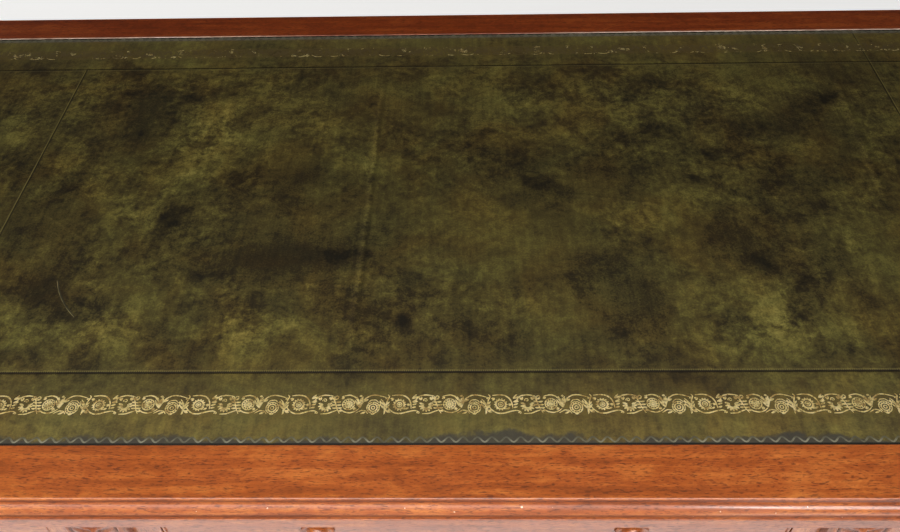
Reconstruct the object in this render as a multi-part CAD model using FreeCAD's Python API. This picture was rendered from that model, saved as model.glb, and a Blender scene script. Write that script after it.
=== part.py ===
import FreeCAD, Part
import math
import os
from FreeCAD import Placement, Rotation, Vector

# A twin pedestal desk in mahogany: a leather-lined top on a frieze of three drawers,
# carried on two pedestals of three drawers each. Millimetres, +Z up, front towards -Y,
# origin on the floor under the middle of the top.

# Overall size
top_width = 1980.0
top_depth = 915.0
desk_height = 790.0
kneehole_width = 660.0

# Top: mitred border boards with a moulded edge, a build-up strip below, a tongued core
border_width = 58.5
edge_arris = 2.0
inner_arris = 0.8
edge_fillet = 3.5
ovolo_ledge = 0.5
ovolo_run = 8.5
ovolo_drop = 9.0
ovolo_fillet = 4.5
fascia_step = 3.0
fascia_height = 16.5
fascia_arris = 1.0
fascia_seat = 18.0
tongue_length = 8.0
tongue_thickness = 6.0

# Leather lining in three lengths, seams measured from the middle of the desk
leather_thickness = 1.2
leather_sink = 0.4
left_seam = 603.0
right_seam = 617.0

# Frieze carcase
front_overhang = 22.0
back_overhang = 22.0
end_overhang = 28.0
frieze_height = 110.0
panel_thickness = 20.0
dust_board_thickness = 16.0
nosing_projection = 5.0
top_rail_height = 12.0
stile_width = 120.0
stile_thickness = 22.0
frieze_panel_margin = 14.0

# Scroll corbel planted on each frieze stile
corbel_width = 76.0
corbel_projection = 17.0
corbel_cap_height = 11.0
corbel_neck = 9.0

# Pedestals
plinth_height = 95.0
plinth_lap = 20.0
plinth_projection = 14.0
plinth_seat = 16.0
plinth_fillet = 3.0
plinth_ovolo = 11.0
bottom_board_thickness = 25.0
top_board_thickness = 18.0
flute_radius = 5.0
flute_spacing = 16.0
flute_end_margin = 60.0
flute_count = 5
panel_margin = 75.0
panel_sink = 6.0
panel_bevel = 34.0
panel_lip = 5.0

# Drawers
drawer_back_space = 129.0
front_thickness = 22.0
front_setback = 2.0
front_side_gap = 1.0
front_top_gap = 1.2
running_clearance = 0.4
lining_thickness = 10.0
lining_top_drop = 5.0
bottom_thickness = 6.0
bottom_raise = 12.0
groove_depth = 4.0
groove_clearance = 0.4
tail_length = 12.0
tail_pitch = 38.0
tail_slope = 0.16
bead_thickness = 3.0
bead_depth = 8.0
bead_proud = 2.0
guide_width = 18.0
guide_height = 24.0
stop_width = 30.0
stop_length = 20.0
stop_height = 5.0
stop_inset = 45.0

# Turned knobs
knob_radius = 21.0
knob_length = 34.0
knob_flange_radius = 16.0
knob_flange_thickness = 4.0
knob_neck_radius = 9.5
shank_radius = 6.0
shank_clearance = 0.1

# Locks of the three frieze drawers
lock_width = 58.0
lock_height = 38.0
lock_depth = 9.0
lock_plate_margin = 8.0
lock_plate_thickness = 2.0
escutcheon_radius = 6.0
escutcheon_length = 15.0
escutcheon_thickness = 2.0
escutcheon_rim = 2.2
keyhole_depth = 1.2

# Shares of the sizes that they follow
pedestal_drawer_shares = (0.295, 0.332, 0.373)
knob_place_share = 0.25
tail_root_share = 0.46
neck_place_share = 0.42
head_place_share = 0.72
crown_share = 0.55
corbel_reed_shares = ((1.0, 0.74), (0.78, 0.86), (0.52, 0.94), (0.26, 1.0))
corbel_bulge_shares = (0.94, 0.34)
corbel_waist_shares = (0.62, 0.60)
corbel_hollow_shares = (0.40, 0.78)
corbel_toe_shares = (0.46, 0.92)
corbel_roll_shares = (0.40, 0.98)

# A length that every cutting tool runs past the face it cuts
overrun = 2.0

# Heights
border_thickness = edge_arris + edge_fillet + ovolo_drop + ovolo_fillet
border_under = desk_height - border_thickness
frieze_top = border_under - fascia_height
frieze_bottom = frieze_top - frieze_height
dust_top = frieze_bottom + dust_board_thickness
pedestal_bottom = plinth_height - plinth_lap
bottom_board_top = pedestal_bottom + bottom_board_thickness
top_board_under = frieze_bottom - top_board_thickness

# Plan
half_width = top_width / 2
half_depth = top_depth / 2
edge_projection = edge_arris + ovolo_ledge + ovolo_run + fascia_step
leather_inset = edge_projection + border_width
leather_half_width = half_width - leather_inset
leather_half_depth = half_depth - leather_inset
face_front = -(half_depth - front_overhang)
face_back = half_depth - back_overhang
face_end = half_width - end_overhang
face_knee = kneehole_width / 2
stile_back = face_front + stile_thickness
panel_back = face_back - panel_thickness
drawer_face = face_front + front_setback
drawer_rear = panel_back - drawer_back_space


def box(x0, x1, y0, y1, z0, z1):
    return Part.makeBox(x1 - x0, y1 - y0, z1 - z0, Vector(x0, y0, z0))


def prism(points, sweep):
    return Part.Face(Part.makePolygon(points + points[:1])).extrude(sweep)


def joined(solids):
    return solids[0].multiFuse(solids[1:]).removeSplitter()


def line(a, b):
    return Part.LineSegment(a, b).toShape()


def arc(a, middle, b):
    return Part.Arc(a, middle, b).toShape()


def corner(a, b, bulge_towards):
    """Quarter round from a to b that swells towards a point on the far side of its chord."""
    centre = a + b - bulge_towards
    half_turn = math.sqrt(0.5)
    return centre + (a - centre) * half_turn + (b - centre) * half_turn


def closed_solid(edges, sweep):
    return Part.Face(Part.Wire(edges)).extrude(sweep)


def mirrored(shape):
    return shape.mirror(Vector(0, 0, 0), Vector(1, 0, 0))


def mitred_frame(half_x, half_y, outline, z_low, z_high, reach):
    """Front, right, back and left strips of a frame about the origin, mitred where they meet.

    outline takes a function from (out, up) to a point and gives the edges of the section, with
    out measured from the sides of the rectangle. reach is more than the section stands out.
    """
    strips = []
    sides = ((half_x, half_y), (half_y, half_x), (half_x, half_y), (half_y, half_x))
    for turn, (along, away) in enumerate(sides):
        length = along + reach

        def point(out, up):
            return Vector(-length, -away - out, up)

        strip = closed_solid(outline(point), Vector(2 * length, 0, 0))
        depth = min(along, away)
        near = [
            Vector(-along - reach, -away - reach, z_low),
            Vector(along + reach, -away - reach, z_low),
            Vector(along - depth, -away + depth, z_low),
            Vector(-along + depth, -away + depth, z_low),
        ]
        if along == depth:
            near = near[:3]
        strip = strip.common(prism(near, Vector(0, 0, z_high - z_low)))
        strip.rotate(Vector(0, 0, 0), Vector(0, 0, 1), 90 * turn)
        strips.append(strip)
    return strips


# The top


def border_outline(point):
    """Border board section: flat top, arris, fillet, ovolo and fillet, with a groove inside."""
    top = desk_height
    flat = -edge_projection
    brow = flat + edge_arris
    ledge = brow + ovolo_ledge
    nose = ledge + ovolo_run
    inner = -leather_inset
    fillet_foot = top - edge_arris - edge_fillet
    ovolo_foot = fillet_foot - ovolo_drop
    groove_top = border_under + (border_thickness + tongue_thickness) / 2
    groove_foot = groove_top - tongue_thickness
    a = point(flat, top)
    b = point(brow, top - edge_arris)
    c = point(ledge, fillet_foot)
    d = point(nose, ovolo_foot)
    e = point(inner, top - inner_arris)
    f = point(inner + inner_arris, top)
    rest = [
        d,
        point(nose, border_under),
        point(inner, border_under),
        point(inner, groove_foot),
        point(inner + tongue_length, groove_foot),
        point(inner + tongue_length, groove_top),
        point(inner, groove_top),
        e,
    ]
    return [
        arc(a, corner(a, b, point(brow, top)), b),
        line(b, point(brow, fillet_foot)),
        line(point(brow, fillet_foot), c),
        arc(c, corner(c, d, point(nose, fillet_foot)), d),
        *[line(p, q) for p, q in zip(rest, rest[1:])],
        arc(e, corner(e, f, point(inner, top)), f),
        line(f, a),
    ]


def fascia_outline(point):
    """Build-up strip section under the border, with eased front edges."""
    inner = -leather_inset - fascia_seat
    high = border_under
    low = frieze_top
    a = point(-fascia_arris, high)
    b = point(0, high - fascia_arris)
    c = point(0, low + fascia_arris)
    d = point(-fascia_arris, low)
    return [
        arc(a, corner(a, b, point(0, high)), b),
        line(b, c),
        arc(c, corner(c, d, point(0, low)), d),
        line(d, point(inner, low)),
        line(point(inner, low), point(inner, high)),
        line(point(inner, high), a),
    ]


def core_board():
    """Board under the leather, tongued into the border all round."""
    high = desk_height - leather_sink - leather_thickness
    tongue_top = border_under + (border_thickness + tongue_thickness) / 2
    board = box(
        -leather_half_width, leather_half_width, -leather_half_depth, leather_half_depth,
        border_under, high,
    )
    tongue = box(
        -leather_half_width - tongue_length, leather_half_width + tongue_length,
        -leather_half_depth - tongue_length, leather_half_depth + tongue_length,
        tongue_top - tongue_thickness, tongue_top,
    )
    return joined([board, tongue])


def leather(x0, x1):
    high = desk_height - leather_sink
    return box(x0, x1, -leather_half_depth, leather_half_depth, high - leather_thickness, high)


def top_pieces():
    borders = mitred_frame(
        half_width, half_depth, border_outline, border_under, desk_height, edge_projection
    )
    fascia = mitred_frame(
        half_width, half_depth, fascia_outline, frieze_top, border_under, edge_projection
    )
    names = ("front", "right", "back", "left")
    pieces = {f"top_border_{name}": [strip] for name, strip in zip(names, borders)}
    pieces["top_build_up_strips"] = fascia
    pieces["top_core_board"] = [core_board()]
    pieces["leather_left_panel"] = [leather(-leather_half_width, -left_seam)]
    pieces["leather_centre_panel"] = [leather(-left_seam, right_seam)]
    pieces["leather_right_panel"] = [leather(right_seam, leather_half_width)]
    return pieces


# Sunk panels with a raised field, cut into a board that lies in XY and faces +Z


def fielded_cut(width, height, bevel):
    """The waste of a sunk panel: a flat lip, then a bevel that rises to the field."""
    waste = box(-width / 2, width / 2, -height / 2, height / 2, -panel_sink, overrun)
    rings = []
    for inset, level in ((panel_lip, -panel_sink), (panel_lip + bevel, 0)):
        x, y = width / 2 - inset, height / 2 - inset
        corners = [Vector(-x, -y, level), Vector(x, -y, level), Vector(x, y, level), Vector(-x, y, level)]
        rings.append(Part.makePolygon(corners + corners[:1]))
    return waste.cut(Part.makeLoft(rings, True, True))


def turned_to(shape, axis, degrees, place):
    shape = shape.copy()
    shape.Placement = Placement(place, Rotation(axis, degrees)) * shape.Placement
    return shape


def cut_facing_back(board, width, height, bevel, x, z):
    tool = turned_to(fielded_cut(width, height, bevel), Vector(1, 0, 0), -90, Vector(x, face_back, z))
    return board.cut(tool)


def cut_facing_right(board, height, depth, bevel, x, y, z):
    tool = turned_to(fielded_cut(height, depth, bevel), Vector(0, 1, 0), 90, Vector(x, y, z))
    return board.cut(tool)


# The frieze


def stile_spans():
    inner = (face_knee, face_knee + stile_width)
    outer = (face_end - stile_width, face_end)
    return [(-outer[1], -outer[0]), (-inner[1], -inner[0]), inner, outer]


def dust_board():
    """Bottom of the frieze, rounded over where it stands out as a bead."""
    board = box(
        -face_end - nosing_projection, face_end + nosing_projection,
        face_front - nosing_projection, face_back + nosing_projection,
        frieze_bottom, dust_top,
    )
    long_edges = [e for e in board.Edges if abs(e.Vertexes[0].Z - e.Vertexes[1].Z) < overrun]
    return board.makeFillet(min(nosing_projection, dust_board_thickness / 2 - fascia_arris), long_edges)


def corbel_side(height, projection, base):
    """Side outline of a corbel in (forward, up): cap, bulge, waist and a rolled toe."""
    low = dust_top

    def at(shares):
        forward, fall = shares
        return Vector(base, face_front - forward * projection, low + height * (1 - fall))

    cap_foot = low + height - corbel_cap_height
    neck = corbel_neck * projection / corbel_projection
    a = Vector(base, face_front, low + height)
    b = Vector(base, face_front - projection, low + height)
    c = Vector(base, face_front - projection, cap_foot)
    d = Vector(base, face_front - neck, cap_foot)
    waist = at(corbel_waist_shares)
    toe = at(corbel_toe_shares)
    foot = Vector(base, face_front, low)
    front_foot = Vector(base, face_front - projection * corbel_hollow_shares[0], low)
    return [
        line(a, b),
        line(b, c),
        line(c, d),
        arc(d, at(corbel_bulge_shares), waist),
        arc(waist, at(corbel_hollow_shares), toe),
        arc(toe, at(corbel_roll_shares), front_foot),
        line(front_foot, foot),
        line(foot, a),
    ]


def corbel(x0, x1):
    """Scroll corbel whose face steps forward in reeds towards its middle."""
    middle = (x0 + x1) / 2
    height = frieze_top - dust_top
    reeds = []
    for width_share, depth_share in corbel_reed_shares:
        width = corbel_width * width_share
        outline = corbel_side(height, corbel_projection * depth_share, middle - width / 2)
        reeds.append(closed_solid(outline, Vector(width, 0, 0)))
    return joined(reeds)


def frieze_end():
    """Right end of the frieze, with a sunk panel outside."""
    board = box(face_end - panel_thickness, face_end, stile_back, face_back, dust_top, frieze_top)
    height = frieze_top - dust_top - 2 * frieze_panel_margin
    depth = face_back - stile_back - 2 * frieze_panel_margin
    middle_y, middle_z = (stile_back + face_back) / 2, (dust_top + frieze_top) / 2
    return cut_facing_right(board, height, depth, height / 4, face_end, middle_y, middle_z)


def frieze_back():
    """Back of the frieze between the ends, with three sunk panels that match the drawers."""
    inside = face_end - panel_thickness
    board = box(-inside, inside, panel_back, face_back, dust_top, frieze_top)
    height = frieze_top - dust_top - 2 * frieze_panel_margin
    middle_z = (dust_top + frieze_top) / 2
    for x0, x1 in frieze_openings():
        board = cut_facing_back(board, x1 - x0, height, height / 4, (x0 + x1) / 2, middle_z)
    return board


def frieze_openings():
    spans = stile_spans()
    return [(left[1], right[0]) for left, right in zip(spans, spans[1:])]


def guides_and_stops(x0, x1, z):
    """Two fillets that guide a drawer and two blocks that stop its front, on the board below it."""
    stop_face = drawer_face + front_thickness
    pieces = [
        box(x0 - guide_width, x0, stile_back, panel_back, z, z + guide_height),
        box(x1, x1 + guide_width, stile_back, panel_back, z, z + guide_height),
    ]
    for x in (x0 + stop_inset, x1 - stop_inset - stop_width):
        pieces.append(box(x, x + stop_width, stop_face, stop_face + stop_length, z, z + stop_height))
    return pieces


def frieze_pieces():
    rail_foot = frieze_top - top_rail_height
    end = frieze_end()
    pieces = {
        "frieze_ends": [mirrored(end), end],
        "frieze_back": [frieze_back()],
        "frieze_dust_board": [dust_board()],
        "frieze_stiles": [],
        "frieze_corbels": [],
        "frieze_top_rails": [],
        "frieze_drawer_guides": [],
    }
    for x0, x1 in stile_spans():
        pieces["frieze_stiles"].append(box(x0, x1, face_front, stile_back, dust_top, frieze_top))
        pieces["frieze_corbels"].append(corbel(x0, x1))
    for x0, x1 in frieze_openings():
        pieces["frieze_top_rails"].append(box(x0, x1, face_front, stile_back, rail_foot, frieze_top))
        pieces["frieze_drawer_guides"] += guides_and_stops(x0, x1, dust_top)
    return pieces


# The pedestals, modelled on the right and mirrored for the left


def pedestal_opening_x():
    return face_knee + stile_width, face_end - stile_width


def pedestal_openings():
    """Height span of each drawer opening, from the top one down."""
    free = top_board_under - bottom_board_top - 2 * dust_board_thickness
    spans = []
    high = top_board_under
    for share in pedestal_drawer_shares:
        low = high - free * share / sum(pedestal_drawer_shares)
        spans.append((low, high))
        high = low - dust_board_thickness
    return spans


def pedestal_board(z0, z1):
    """Board between the sides that comes forward between the pilasters as a drawer rail."""
    x0, x1 = pedestal_opening_x()
    body = box(face_knee + panel_thickness, face_end - panel_thickness, stile_back, panel_back, z0, z1)
    rail = box(x0, x1, face_front, stile_back, z0, z1)
    return joined([body, rail])


def pilaster(x0, x1):
    """Front stile of a pedestal with stopped flutes."""
    board = box(x0, x1, face_front, stile_back, pedestal_bottom, frieze_bottom)
    low = plinth_height + flute_end_margin
    high = frieze_bottom - flute_end_margin
    first = (x0 + x1) / 2 - flute_spacing * (flute_count - 1) / 2
    for i in range(flute_count):
        x = first + i * flute_spacing
        flute = Part.makeCylinder(flute_radius, high - low, Vector(x, face_front, low))
        ends = [Part.makeSphere(flute_radius, Vector(x, face_front, z)) for z in (low, high)]
        board = board.cut(flute.multiFuse(ends))
    return board


def pedestal_side():
    """Outer side with a fielded panel."""
    x = face_end
    board = box(x - panel_thickness, x, stile_back, face_back, pedestal_bottom, frieze_bottom)
    height = frieze_bottom - plinth_height - 2 * panel_margin
    depth = face_back - stile_back - 2 * panel_margin
    middle_y, middle_z = (stile_back + face_back) / 2, (plinth_height + frieze_bottom) / 2
    return cut_facing_right(board, height, depth, panel_bevel, x, middle_y, middle_z)


def pedestal_back():
    """Back between the sides, with a fielded panel."""
    x0, x1 = face_knee + panel_thickness, face_end - panel_thickness
    board = box(x0, x1, panel_back, face_back, pedestal_bottom, frieze_bottom)
    height = frieze_bottom - plinth_height - 2 * panel_margin
    middle_z = (plinth_height + frieze_bottom) / 2
    return cut_facing_back(board, x1 - x0 - 2 * panel_margin, height, panel_bevel, (x0 + x1) / 2, middle_z)


def plinth_outline(point):
    """Plinth section: a seat under the carcase, a lap round it and an ovolo on top."""
    out = plinth_projection
    brow = out - plinth_ovolo
    shoulder = plinth_height - plinth_fillet
    a = point(out, shoulder - plinth_ovolo)
    b = point(brow, shoulder)
    corners = [
        b,
        point(brow, plinth_height),
        point(0, plinth_height),
        point(0, pedestal_bottom),
        point(-plinth_seat, pedestal_bottom),
        point(-plinth_seat, 0),
        point(out, 0),
        a,
    ]
    ovolo = arc(a, corner(a, b, point(out, shoulder)), b)
    return [ovolo] + [line(p, q) for p, q in zip(corners, corners[1:])]


def plinth():
    half_x, half_y = (face_end - face_knee) / 2, (face_back - face_front) / 2
    reach = plinth_projection + overrun
    strips = mitred_frame(half_x, half_y, plinth_outline, 0, plinth_height, reach)
    middle = Vector((face_end + face_knee) / 2, (face_back + face_front) / 2, 0)
    for strip in strips:
        strip.translate(middle)
    return strips


def pedestal_pieces():
    x0, x1 = pedestal_opening_x()
    openings = pedestal_openings()
    boards = [
        pedestal_board(pedestal_bottom, bottom_board_top),
        pedestal_board(top_board_under, frieze_bottom),
    ]
    guides = []
    for low, high in openings:
        guides += guides_and_stops(x0, x1, low)
    for low, high in openings[:-1]:
        boards.append(pedestal_board(low - dust_board_thickness, low))
    return {
        "outer_side": [pedestal_side()],
        "inner_side": [
            box(face_knee, face_knee + panel_thickness, stile_back, face_back, pedestal_bottom, frieze_bottom)
        ],
        "back": [pedestal_back()],
        "boards": boards,
        "drawer_guides": guides,
        "pilasters": [pilaster(face_knee, x0), pilaster(x1, face_end)],
        "plinth": plinth(),
    }


# The drawers


def tails(x0, x1, root, end, z0, z1):
    """Dovetails of a drawer side, which widen from root to end along Y."""
    count = max(2, round((z1 - z0) / tail_pitch))
    pitch = (z1 - z0) / count
    narrow = pitch * tail_root_share / 2
    wide = narrow + abs(end - root) * tail_slope
    solids = []
    for i in range(count):
        z = z0 + (i + 0.5) * pitch
        outline = [
            Vector(x0, root, z - narrow),
            Vector(x0, end, z - wide),
            Vector(x0, end, z + wide),
            Vector(x0, root, z + narrow),
        ]
        solids.append(prism(outline, Vector(x1 - x0, 0, 0)))
    return solids


def bead_outline(point):
    """Cock bead section: a thin strip with a rounded nose."""
    a = point(0, 0)
    b = point(-bead_thickness, 0)
    nose = bead_thickness / 2
    foot = nose - bead_depth - bead_proud
    c = point(0, foot)
    d = point(-bead_thickness, foot)
    return [arc(b, point(-nose, nose), a), line(a, c), line(c, d), line(d, b)]


def cock_beads(x0, x1, face, z0, z1):
    """Mitred cock beads round the edge of a drawer front, standing proud of its face."""
    nose = bead_thickness / 2
    strips = mitred_frame(
        (x1 - x0) / 2, (z1 - z0) / 2, bead_outline, -bead_depth - bead_proud, nose, bead_thickness
    )
    seat = Vector((x0 + x1) / 2, face - bead_proud + nose, (z0 + z1) / 2)
    return [turned_to(strip, Vector(1, 0, 0), 90, seat) for strip in strips]


def knob(x, face, z):
    """Turned knob: flange, hollow neck, round head with a crown, and a shank through the front."""

    def point(radius, forward):
        return Vector(x + radius, face - forward, z)

    head_foot = knob_length * neck_place_share
    equator = knob_length * head_place_share
    flange_edge = knob_flange_thickness / 2
    crown = knob_radius * crown_share
    crown_rise = knob_flange_thickness / 2
    sphere = (crown ** 2 + crown_rise ** 2) / (2 * crown_rise)
    half_angle = math.asin(crown / sphere) / 2
    brow = knob_length - crown_rise
    middle = point(sphere * math.sin(half_angle), knob_length - sphere + sphere * math.cos(half_angle))
    tail = -front_thickness
    waist = (knob_flange_thickness + head_foot) / 2
    edges = [
        line(point(0, tail), point(shank_radius, tail)),
        line(point(shank_radius, tail), point(shank_radius, 0)),
        line(point(shank_radius, 0), point(knob_flange_radius, 0)),
        arc(
            point(knob_flange_radius, 0),
            point(knob_flange_radius + flange_edge, flange_edge),
            point(knob_flange_radius, knob_flange_thickness),
        ),
        arc(
            point(knob_flange_radius, knob_flange_thickness),
            point(knob_neck_radius, waist),
            point(knob_flange_radius, head_foot),
        ),
        arc(
            point(knob_flange_radius, head_foot),
            point(knob_radius, equator),
            point(crown, brow),
        ),
        arc(point(crown, brow), middle, point(0, knob_length)),
        line(point(0, knob_length), point(0, tail)),
    ]
    turned = Part.Face(Part.Wire(edges))
    return turned.revolve(Vector(x, 0, z), Vector(0, 1, 0), 360)


def keyhole(x, z, radius, length, y0, y1):
    """Keyhole outline, a round over a tapering slot, from y0 back to y1."""
    slot = radius / 2
    round_part = Part.makeCylinder(radius, y1 - y0, Vector(x, y0, z), Vector(0, 1, 0))
    foot = radius * crown_share
    outline = [
        Vector(x - slot, y0, z),
        Vector(x + slot, y0, z),
        Vector(x + foot, y0, z - length),
        Vector(x - foot, y0, z - length),
    ]
    return joined([round_part, prism(outline, Vector(0, y1 - y0, 0))])


def lock_solids(x, face, z_top):
    """Lock case with its plate on the top edge of the front, and the escutcheon let into the face."""
    back = face + front_thickness
    half = lock_width / 2
    case = box(x - half, x + half, back - lock_depth, back, z_top - lock_height, z_top)
    plate_half = half + lock_plate_margin
    plate = box(
        x - plate_half, x + plate_half, back - lock_depth, back, z_top - lock_plate_thickness, z_top
    )
    hole_z = z_top - lock_height / 2
    rim = keyhole(x, hole_z, escutcheon_radius, escutcheon_length, face, face + escutcheon_thickness)
    hole = keyhole(
        x, hole_z, escutcheon_radius - escutcheon_rim, escutcheon_length - escutcheon_rim,
        face - overrun, face + keyhole_depth,
    )
    return [joined([case, plate]), rim.cut(hole)]


def drawer(x0, x1, z0, z1, locked):
    """One drawer in its opening: front with beads, dovetailed lining, knobs and lock."""
    left, right = x0 + front_side_gap, x1 - front_side_gap
    low, high = z0 + running_clearance, z1 - front_top_gap
    face = drawer_face
    front_back = face + front_thickness
    rear = drawer_rear
    rear_front = rear - lining_thickness
    lining_top = high - lining_top_drop
    floor = low + bottom_raise
    floor_top = floor + bottom_thickness
    middle = (left + right) / 2

    front = box(left, right, face, front_back, low, high)
    inside = box(
        left + bead_thickness, right - bead_thickness, face - overrun, front_back,
        low + bead_thickness, high - bead_thickness,
    )
    rebate = box(left, right, face, face + bead_depth, low, high).cut(inside)
    front = front.cut(rebate)

    floor_left, floor_right = left + lining_thickness - groove_depth, right - lining_thickness + groove_depth
    groove_end = front_back - groove_depth
    groove = box(floor_left, floor_right, groove_end, rear + overrun, floor, floor_top)
    floor_board = box(
        floor_left + groove_clearance, floor_right - groove_clearance,
        groove_end + groove_clearance, rear, floor, floor_top,
    )

    back = box(left, right, rear_front, rear, floor_top, lining_top)
    sides = []
    for s0, s1 in ((left, left + lining_thickness), (right - lining_thickness, right)):
        fore = tails(s0, s1, front_back, front_back - tail_length, low, lining_top)
        aft = tails(s0, s1, rear_front, rear, floor_top, lining_top)
        body = box(s0, s1, front_back, rear_front, low, lining_top)
        sides.append(joined([body] + fore + aft).cut(groove))
        front = front.cut(Part.makeCompound(fore))
        back = back.cut(Part.makeCompound(aft))
    front = front.cut(groove)

    knob_z = (low + high) / 2
    knobs = []
    for side in (-1, 1):
        x = middle + side * (x1 - x0) * knob_place_share
        hole = Part.makeCylinder(
            shank_radius + shank_clearance, front_thickness + 2 * overrun,
            Vector(x, face - overrun, knob_z), Vector(0, 1, 0),
        )
        front = front.cut(hole)
        knobs.append(knob(x, face, knob_z))

    pieces = {"box": sides + [back, floor_board], "knobs": knobs}
    beads = cock_beads(left, right, face, low, high)
    if locked:
        pieces["lock"] = lock_solids(middle, face, high)
        case = pieces["lock"][0]
        hole_z = high - lock_height / 2
        inlay = face + escutcheon_thickness
        seat = keyhole(middle, hole_z, escutcheon_radius, escutcheon_length, face, inlay)
        front = front.cut(case).cut(seat)
    pieces["front"] = [front] + beads
    return pieces


def drawer_plan():
    """Name, opening and lock of each drawer."""
    plan = []
    for name, (x0, x1) in zip(("left", "centre", "right"), frieze_openings()):
        plan.append((f"frieze_{name}_drawer", x0, x1, dust_top, frieze_top - top_rail_height, True))
    x0, x1 = pedestal_opening_x()
    for side, (a, b) in (("left", (-x1, -x0)), ("right", (x0, x1))):
        for level, (low, high) in zip(("upper", "middle", "lower"), pedestal_openings()):
            plan.append((f"{side}_{level}_drawer", a, b, low, high, False))
    return plan


def all_pieces():
    pieces = {}
    pieces.update(top_pieces())
    pieces.update(frieze_pieces())
    for name, solids in pedestal_pieces().items():
        pieces[f"right_pedestal_{name}"] = solids
        pieces[f"left_pedestal_{name}"] = [mirrored(s) for s in solids]
    for name, x0, x1, z0, z1, locked in drawer_plan():
        for piece, solids in drawer(x0, x1, z0, z1, locked).items():
            pieces[f"{name}_{piece}"] = solids
    return pieces


def main():
    os.makedirs("parts", exist_ok=True)
    for node, solids in all_pieces().items():
        Part.makeCompound(solids).exportStep(f"parts/{node}.step")


if __name__ == "__main__":
    main()
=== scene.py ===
import bpy
import math
import numpy as np
from mathutils import Matrix, Vector


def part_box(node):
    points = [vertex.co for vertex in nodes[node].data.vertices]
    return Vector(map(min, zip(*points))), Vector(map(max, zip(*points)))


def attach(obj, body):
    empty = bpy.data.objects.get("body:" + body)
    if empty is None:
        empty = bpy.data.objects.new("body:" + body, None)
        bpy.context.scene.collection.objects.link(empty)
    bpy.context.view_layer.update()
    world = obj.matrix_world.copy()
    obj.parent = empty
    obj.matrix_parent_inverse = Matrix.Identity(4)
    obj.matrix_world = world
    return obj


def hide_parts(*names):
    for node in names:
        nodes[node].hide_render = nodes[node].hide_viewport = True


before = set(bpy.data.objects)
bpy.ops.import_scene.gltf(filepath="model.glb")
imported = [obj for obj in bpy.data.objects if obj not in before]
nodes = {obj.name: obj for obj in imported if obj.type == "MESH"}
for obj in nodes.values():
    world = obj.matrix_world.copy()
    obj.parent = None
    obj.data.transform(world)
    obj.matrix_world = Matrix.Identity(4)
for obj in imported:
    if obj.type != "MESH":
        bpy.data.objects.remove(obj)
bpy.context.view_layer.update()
print("frame loaded:", len(nodes), "nodes")

mm = 0.001

# Places read off the frame, in metres
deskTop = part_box("top_border_front")[1].z
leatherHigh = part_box("leather_right_panel")[1]
leatherHalf = np.array([leatherHigh.x, leatherHigh.y])
leatherZ = leatherHigh.z
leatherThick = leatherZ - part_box("leather_right_panel")[0].z
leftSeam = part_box("leather_centre_panel")[0].x
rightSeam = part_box("leather_centre_panel")[1].x


# Camera at the photographer's place, from a fit of the top's straight lines
cameraSet = {
    "place": (-0.0047, -0.8439, 0.7534),  # from the middle of the top
    "pitch": 46.76, "yaw": 1.78, "roll": -1.62,  # degrees
    "focal": 850.0, "frameWidth": 900.0,  # pixels of the photograph
    "sensor": 36.0, "near": 0.05, "far": 100.0,
}


def makeCamera(s):
    pitch, yaw, roll = (math.radians(s[key]) for key in ("pitch", "yaw", "roll"))
    right = Vector((math.cos(yaw), math.sin(yaw), 0))
    ahead = Vector((-math.sin(yaw) * math.cos(pitch), math.cos(yaw) * math.cos(pitch), -math.sin(pitch)))
    up = right.cross(ahead)
    right, up = (
        math.cos(roll) * right + math.sin(roll) * up,
        math.cos(roll) * up - math.sin(roll) * right,
    )
    data = bpy.data.cameras.new("photoCamera")
    data.sensor_width = s["sensor"]
    data.lens = s["focal"] / s["frameWidth"] * s["sensor"]
    data.clip_start = s["near"]
    data.clip_end = s["far"]
    camera = bpy.data.objects.new("photoCamera", data)
    turn = Matrix((right, up, -ahead)).transposed().to_4x4()
    camera.matrix_world = Matrix.Translation(Vector(s["place"]) + Vector((0, 0, deskTop))) @ turn
    bpy.context.scene.collection.objects.link(camera)
    bpy.context.scene.camera = camera


makeCamera(cameraSet)
print("camera made")


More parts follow.
